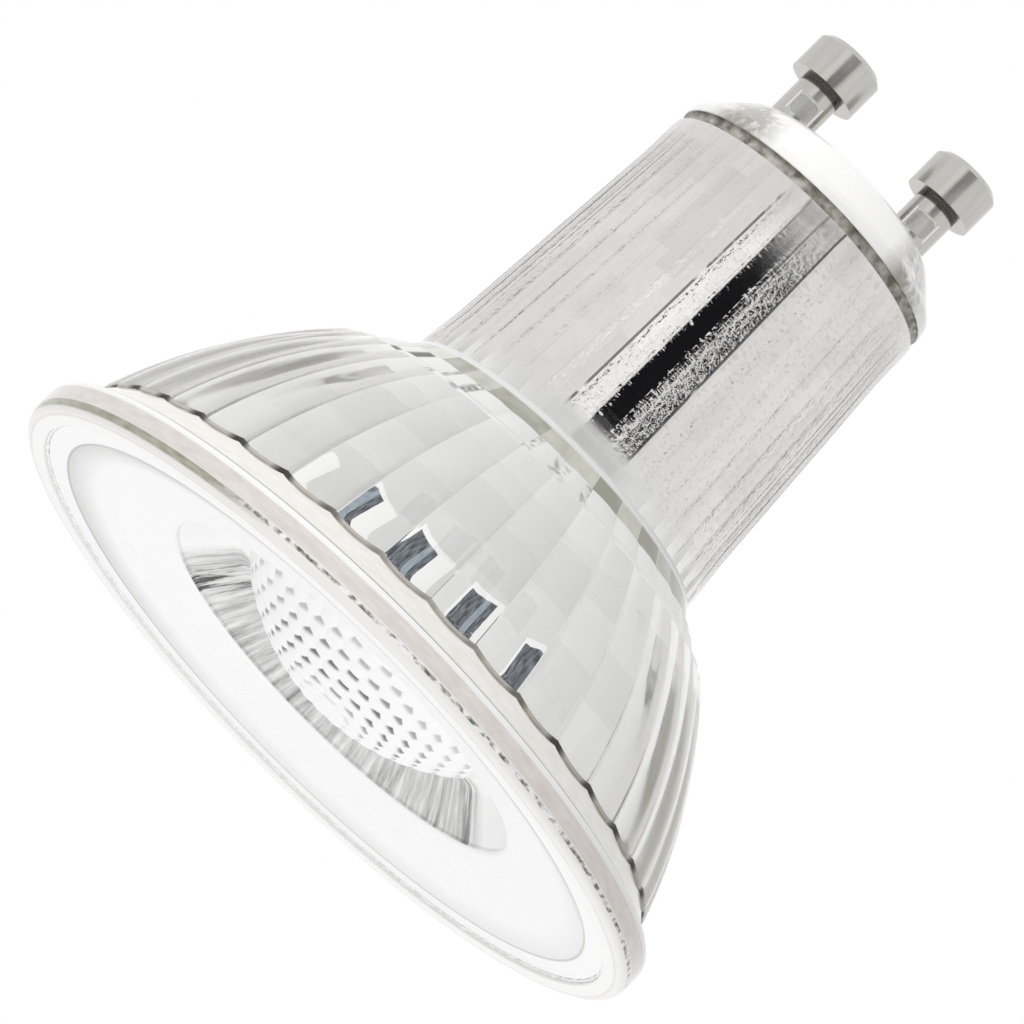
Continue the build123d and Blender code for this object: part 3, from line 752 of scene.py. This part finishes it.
def dome_shell():
    """Vertices, faces and cell shades of the honeycomb dome, closed by its hollow back."""
    step = cell_corner / cell_steps
    rise = step * math.sqrt(3) / 2
    row_count = int(dome_root / rise) + 1
    vertices, painted_shades, number = [], [], {}
    for row in range(-row_count, row_count + 1):
        for column in range(-2 * row_count, 2 * row_count + 1):
            x, y = (column + row % 2 / 2) * step, row * rise
            reach = math.hypot(x, y)
            if reach > dome_root:
                continue
            ways = in_cells(x, y)
            share = ways[0].length / cell_corner
            inside = 1 - ramp(reach, dome_border, dome_border + 0.3)
            # Painted shade on each cell's outer edge, fading towards the dome's middle, its rim and its far
            # side.
            shade = max(outer_shade(way, x, y) for way in ways) * ramp(reach, 0.8, 4.4)
            fading = (1 - 0.55 * ramp(reach, 5.5, 8.5)) * (1 - 0.6 * ramp(y, 0.5, 3))
            radius = dome_bend - cell_sag * (1 - inside + inside * share ** 2)
            drop = math.sqrt(dome_bend ** 2 - x * x - y * y)
            out = Vector((x, y, -drop)) / dome_bend
            number[column, row] = len(vertices)
            vertices.append((out.x * radius, out.y * radius, dome_centre + out.z * radius))
            painted_shades.append(shade * inside * fading)
    faces = []
    for (column, row), first in number.items():
        above = column + row % 2
        beside, upper, upper_left = (column + 1, row), (above, row + 1), (above - 1, row + 1)
        for second, third in ((beside, upper), (upper, upper_left)):
            if second in number and third in number:
                faces.append((first, number[third], number[second]))
    following = {}
    edges = {(face[index], face[(index + 1) % 3]) for face in faces for index in range(3)}
    for start, end in edges:
        if (end, start) not in edges:
            following[end] = start
    loop = [next(iter(following))]
    while following[loop[-1]] != loop[0]:
        loop.append(following[loop[-1]])
    edge_points = [Vector(vertices[index]) for index in loop]
    hollow = dome_bend - lens_wall
    previous = loop
    for ring in range(back_rings):
        share = 1 - ring / back_rings
        start = len(vertices)
        for point in edge_points:
            x, y = point.x * share, point.y * share
            vertices.append((x, y, dome_centre - math.sqrt(hollow ** 2 - x * x - y * y)))
            painted_shades.append(0)
        current = list(range(start, len(vertices)))
        for index in range(len(loop)):
            beside = (index + 1) % len(loop)
            faces.append((previous[index], previous[beside], current[beside], current[index]))
        previous = current
    vertices.append((0, 0, dome_centre - hollow))
    painted_shades.append(0)
    for index in range(len(loop)):
        faces.append((previous[index], previous[(index + 1) % len(loop)], len(vertices) - 1))
    return [(x * mm, y * mm, z * mm) for x, y, z in vertices], faces, painted_shades


lip_height = lens_front + lens_dish
lip_turn = [math.radians(15 * step) for step in range(7)]
lip_points = [
    (well_radius + lip_radius * (1 - math.sin(turn)), lip_height + lip_radius * (1 - math.cos(turn)))
    for turn in lip_turn
]
ring_points = eased([
    (ring_back, lens_back, 0),
    (lens_radius - seal_bevel, lens_back, 0.1),
    (lens_radius, lens_back - seal_bevel, 0.1),
    (lens_radius, lens_front, 0.2),
    (frost_radius, lens_front, 0.1),
    (*lip_points[0], 0),
])[:-1] + lip_points + eased([
    (*lip_points[-1], 0),
    (well_floor_radius, floor_height, 0.3),
    (dome_base - dome_lap, floor_height, 0),
    (dome_base - dome_lap, floor_height + lens_wall, 0),
    (well_floor_radius + lens_wall, floor_height + lens_wall, 0.2),
    (well_radius + lens_wall, lip_height + lens_wall, 0.2),
    (ring_back, lens_back, 0),
])[1:-1]
lens_vertices, lens_faces = turned_ring([ring_points] * ring_segments)
ring_vertex_count = len(lens_vertices)
dome_vertices, dome_faces, painted_cell_shades = dome_shell()
lens_vertices += dome_vertices
lens_faces += [tuple(index + ring_vertex_count for index in face) for face in dome_faces]
lens_mesh = smooth_mesh("front_lens_moulding", lens_vertices, lens_faces)
# The cells' painted shade is kept in the cell_shade attribute for the lens material.
cell_shade = lens_mesh.attributes.new("cell_shade", "FLOAT", "POINT")
cell_shade.data.foreach_set("value", [0.0] * ring_vertex_count + painted_cell_shades)

# The frosted ring has a mottled grey ring of painted reflection towards its edge, strongest at the left,
# where a grey line parts it from the plain white border. The far wall of the well is painted with grey folds
# of reflected light and dark painted reflections at its ends, and the dome's cells have painted shade on
# their outer edges.
frosted_lens, surface = open_material("frosted_lens")
reach, turn = surface.reach(), surface.turn()
spokes = surface.wrapped(14.0, reach * 220.0, detail=3.0)
frost = spokes.blend(colour(0.93, 0.93, 0.925), colour(0.97, 0.97, 0.97))
far_side = (surface.axis(1) / reach).between(0.34, 0.46)
in_well = (reach < (well_radius + 0.06) * mm) * (reach > (dome_base + 0.05) * mm) * far_side
# Painted reflection on the well's far wall: grey folds of light, and dark wedges at its ends.
folds = surface.wrapped(26.0, surface.axis(2) * 300.0, detail=4.0, roughness=0.65)
wall_reflection = folds.tones(
    (0.3, 0.22, 0.22, 0.215),
    (0.4, 0.48, 0.48, 0.475),
    (0.5, 0.64, 0.635, 0.63),
    (0.66, 0.88, 0.88, 0.87),
)
left = 1 - surface.axis(0).between(-18 * mm, -4 * mm) * 0.6
frosted = 1 - reach.between(frost_radius * mm, (frost_radius + 0.06) * mm)
# Painted reflection: a mottled grey ring towards the frosted ring's edge, strongest at the left.
reflection_ring = reach.between(19.4 * mm, 21.5 * mm) * frosted * left
reflection_grey = surface.speckle(0.8 * mm).blend(colour(0.60, 0.60, 0.595), colour(0.70, 0.70, 0.695))
near_side = (surface.axis(1) * -1).between(6 * mm, 15 * mm)
edge_start = reach.between(21.44 * mm, 21.48 * mm) + reach.between(21.0 * mm, 21.1 * mm) * near_side
edge_line = edge_start.clamp() * frosted * 0.5
ring_tone = edge_line.blend(reflection_ring.blend(frost, reflection_grey), colour(0.36, 0.355, 0.34))
shade = surface.node("ShaderNodeAttribute", {"attribute_name": "cell_shade"}, output="Fac")
left_wedge = turn.band(2.28, 2.42, 2.5, 2.62) * folds.between(0.5, 0.42)
right_wedge = turn.band(0.47, 0.5, 0.53, 0.6) * folds.between(0.6, 0.46) * 0.6
dark_reflection_wedge = (left_wedge + right_wedge).clamp()
tone = in_well.blend(ring_tone, dark_reflection_wedge.blend(wall_reflection, colour(0.07, 0.07, 0.07)))
close_material(
    surface,
    Base_Color=(shade * 0.9).blend(tone, colour(0.05, 0.05, 0.055)),
    Roughness=in_well * -0.2 + 0.35,
    IOR=1.49,
)

lens = new_piece("front_lens_moulding", lens_mesh, frosted_lens)
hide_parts("front_lens")
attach(lens, "root")

# Lens seal: clear silicone that fills the corner behind the lens's bevelled edge and comes up the gap beside
# its seat to a thin uneven bead, run by hand. Dust and small bubbles leave grey flecks in it.
bead_radius, bead_height, bead_size = 23.27, 0.33, 0.11
bead_segments, crown_steps, crown_start, crown_span = 720, 7, 60, 300
stem_start, stem_end = 0.62, lens_back - 0.05
stem_inner, stem_outer = lens_radius + 0.01, seat_radius - 0.02
seal_stem = [
    (stem_inner, stem_start),
    (stem_inner, lens_back - seal_bevel),
    (lens_radius - seal_bevel, stem_end),
    (stem_outer, stem_end),
    (stem_outer, stem_start),
]
crown_angles = [crown_start - crown_span * step / crown_steps for step in range(crown_steps + 1)]
crown_turns = [math.radians(angle) for angle in crown_angles]
seal_outlines = []
for segment in range(bead_segments):
    angle = 2 * math.pi * segment / bead_segments
    way = Vector((math.cos(angle), math.sin(angle), 0))
    swell = bead_size * (1 + 0.45 * noise.noise(way * 31) + 0.25 * noise.noise(way * 83))
    middle = bead_height + 0.06 * noise.noise(way * 47)
    crown = [(bead_radius + swell * math.cos(turn), middle + swell * math.sin(turn)) for turn in crown_turns]
    seal_outlines.append(crown + seal_stem)
bead_mesh = smooth_mesh("lens_seal_bead", *turned_ring(seal_outlines))
silicone, surface = open_material("clear_silicone")
flecks = surface.speckle(0.35 * mm, detail=4.0).between(0.40, 0.56)
close_material(
    surface,
    Base_Color=flecks.blend(colour(0.80, 0.80, 0.785), colour(0.92, 0.92, 0.92)),
    Roughness=0.2,
)
bead = new_piece("lens_seal_bead", bead_mesh, silicone)
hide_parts("lens_seal")
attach(bead, "root")

# Studio: a pale floor that shows only from above, a white surround, soft lamps and the camera. Glowing cards
# that only reflections see put a window into the bowl, and a dark and a bright band into the neck.
floor_size, floor_level = 1.2, -0.02 * mm


def sheet(name, wide, high, level):
    """Level rectangle about the origin; wide and high are half its sides."""
    corners = [(-wide, -high, level), (wide, -high, level), (wide, high, level), (-wide, high, level)]
    mesh = bpy.data.meshes.new(name)
    mesh.from_pydata(corners, [], [(0, 1, 2, 3)])
    return mesh


floor_paper, surface = open_material("floor_paper")
camera_ray = surface.node("ShaderNodeLightPath", output="Is Camera Ray")
paper = surface.node("ShaderNodeBsdfDiffuse", inputs={"Color": colour(0.9, 0.9, 0.9)})
clear = surface.node("ShaderNodeBsdfTransparent")
seen = camera_ray * surface.outside()
mixed = surface.node("ShaderNodeMixShader", inputs={0: seen, 1: clear, 2: paper})
surface.node("ShaderNodeOutputMaterial", inputs={"Surface": mixed})
floor = new_piece("floor", sheet("floor", floor_size, floor_size, floor_level), floor_paper)

world = bpy.data.worlds.new("white_surround")
bpy.context.scene.world = world
world.use_nodes = True
world.node_tree.nodes.clear()
surround = Signal(world.node_tree)
seen_white = 0
for ray in ("Is Camera Ray", "Is Glossy Ray", "Is Transmission Ray"):
    seen_white = surround.node("ShaderNodeLightPath", output=ray) + seen_white
fill_strength = 0.55
strength = seen_white.clamp() * (1 - fill_strength) + fill_strength
sky = surround.node("ShaderNodeBackground", inputs={"Color": colour(1, 1, 1), "Strength": strength})
surround.node("ShaderNodeOutputWorld", inputs={"Surface": sky})


def soft_lamp(name, direction, distance, size, power):
    lamp = bpy.data.lights.new(name, "AREA")
    lamp.energy = power
    lamp.size = size
    holder = bpy.data.objects.new(name, lamp)
    holder.location = Vector(direction).normalized() * distance
    holder.rotation_euler = Vector(direction).to_track_quat("Z", "Y").to_euler()
    holder.visible_glossy = holder.visible_transmission = False
    bpy.context.collection.objects.link(holder)


soft_lamp("key_lamp", (-0.7, -0.8, 0.9), distance=0.8, size=0.5, power=3.6)
soft_lamp("low_lamp", (0.2, -0.3, -1.0), distance=0.8, size=0.6, power=3.3)


def reflection_card(name, material, azimuth, elevation, wide, high):
    """Glowing card one metre away, seen only in reflections; its width and height are angles in degrees."""
    across, tall = (math.tan(math.radians(angle / 2)) for angle in (wide, high))
    card = new_piece(name, sheet(name, across, tall, 0), material)
    turn, lift = math.radians(azimuth), math.radians(elevation)
    card.location = (math.sin(turn) * math.cos(lift), -math.cos(turn) * math.cos(lift), math.sin(lift))
    card.rotation_euler = (math.pi / 2 - lift, 0, turn)
    card.visible_camera = card.visible_diffuse = card.visible_shadow = False


def close_glow(surface, shade):
    """Finishes the material of a reflection card, which glows in that shade."""
    shine = surface.node("ShaderNodeEmission", inputs={"Color": shade, "Strength": 1.0})
    surface.node("ShaderNodeOutputMaterial", inputs={"Surface": shine})


# The window has a bright frame round mottled dark panes, with one paler strip.
window_glow, surface = open_material("window_glow")
across, up = surface.axis(0), surface.axis(1)
bowed = up - (across - 0.08) * (across - 0.08) * 0.56
upwards = surface.math("ABSOLUTE", bowed)
inside = (across > -0.28) * (across < 0.14) * (upwards < 0.078)
framed = (across > -0.56) * (across < 0.175) * (upwards < 0.104)
strip = (across < -0.1) * (across > -0.18)
mottle = surface.speckle(0.034, detail=4.0, stretch=(1, 0.6, 1)).between(0.4, 0.64)
pane = mottle.blend(colour(0.03, 0.036, 0.045), colour(0.26, 0.29, 0.34))
panes = strip.blend(pane, mottle.blend(colour(0.50, 0.58, 0.66), colour(0.30, 0.36, 0.42)))
close_glow(surface, framed.blend(colour(1, 1, 1), inside.blend(colour(1.3, 1.3, 1.3), panes)))
reflection_card("window_card", window_glow, azimuth=12, elevation=61.2, wide=62, high=40)

dusk_glow, surface = open_material("dusk_glow")
paler = surface.axis(0).between(0.16, 0.24)
close_glow(surface, paler.blend(colour(0.012, 0.012, 0.014), colour(0.08, 0.09, 0.105)))
reflection_card("dusk_card", dusk_glow, azimuth=6, elevation=22.7, wide=34, high=13)

bright_glow, surface = open_material("bright_glow")
close_glow(surface, colour(1.25, 1.25, 1.25))
reflection_card("bright_card", bright_glow, azimuth=-22, elevation=22.7, wide=20, high=13)

view_target = Vector((-0.2, 0, 16.92)) * mm
view_elevation = math.radians(-13.2)
frame_width = 62.06 * mm
camera_data = bpy.data.cameras.new("camera")
camera_data.lens = 600
camera_data.sensor_width = 36
camera_data.clip_end = 10
camera = bpy.data.objects.new("camera", camera_data)
bpy.context.collection.objects.link(camera)
back = Vector((0, -math.cos(view_elevation), math.sin(view_elevation)))
bulb_axis = (Vector((0, 0, 1)) - back * back.z).normalized()
pin_line = Vector((1, 0, 0))
right, up = (bulb_axis + pin_line).normalized(), (bulb_axis - pin_line).normalized()
turned = Matrix((right, up, back)).transposed().to_4x4()
view_distance = frame_width * camera_data.lens / camera_data.sensor_width
camera.matrix_world = Matrix.Translation(view_target + back * view_distance) @ turned
bpy.context.scene.camera = camera
bpy.context.scene.view_settings.view_transform = "Standard"
mirror_bounces = 24
cycles = bpy.context.scene.cycles
cycles.max_bounces = cycles.glossy_bounces = cycles.transmission_bounces = mirror_bounces
